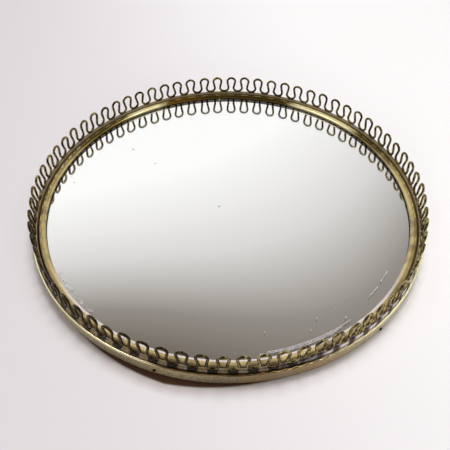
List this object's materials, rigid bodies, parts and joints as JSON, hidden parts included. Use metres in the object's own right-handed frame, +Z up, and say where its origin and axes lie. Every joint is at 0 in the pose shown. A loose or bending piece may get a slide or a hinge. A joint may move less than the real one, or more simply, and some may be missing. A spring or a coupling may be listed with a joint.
{
  "type": "mirrored tray",
  "caption": "Round mirrored tray: a glass mirror in a brass rim on a felted wooden base, with a low gallery of looped brass wire round the edge.",
  "frame": {"origin": "middle of the underside, on the surface that the tray stands on", "axes": "+Z up through the mirror, -Y towards the viewer of the picture, +X to the viewer's right"},
  "size_m": [0.3, 0.3, 0.0286],
  "materials": {
    "felt": "pressed wool felt",
    "stained_wood": "dark stain",
    "card": "plain grey-brown board",
    "silvering": "silver coat with pits",
    "plate_glass": "polished plate",
    "rim_brass": "aged, matt, scratched",
    "pin_steel": "blackened",
    "bezel_brass": "worn satin",
    "rail_brass": "tarnished",
    "wire_brass": "aged, darkened",
    "soft_solder": "dull grey tin"
  },
  "bodies": {
    "root": {"base_felt": "felt", "base_board": "stained_wood", "packing_card": "card", "mirror_backing": "silvering", "mirror_glass": "plate_glass", "rim_band": "rim_brass", "rim_pins": "pin_steel", "bezel_ring": "bezel_brass", "gallery_rail": "rail_brass", "gallery_wire": "wire_brass", "gallery_solder": "soft_solder"}
  },
  "joints": []
}
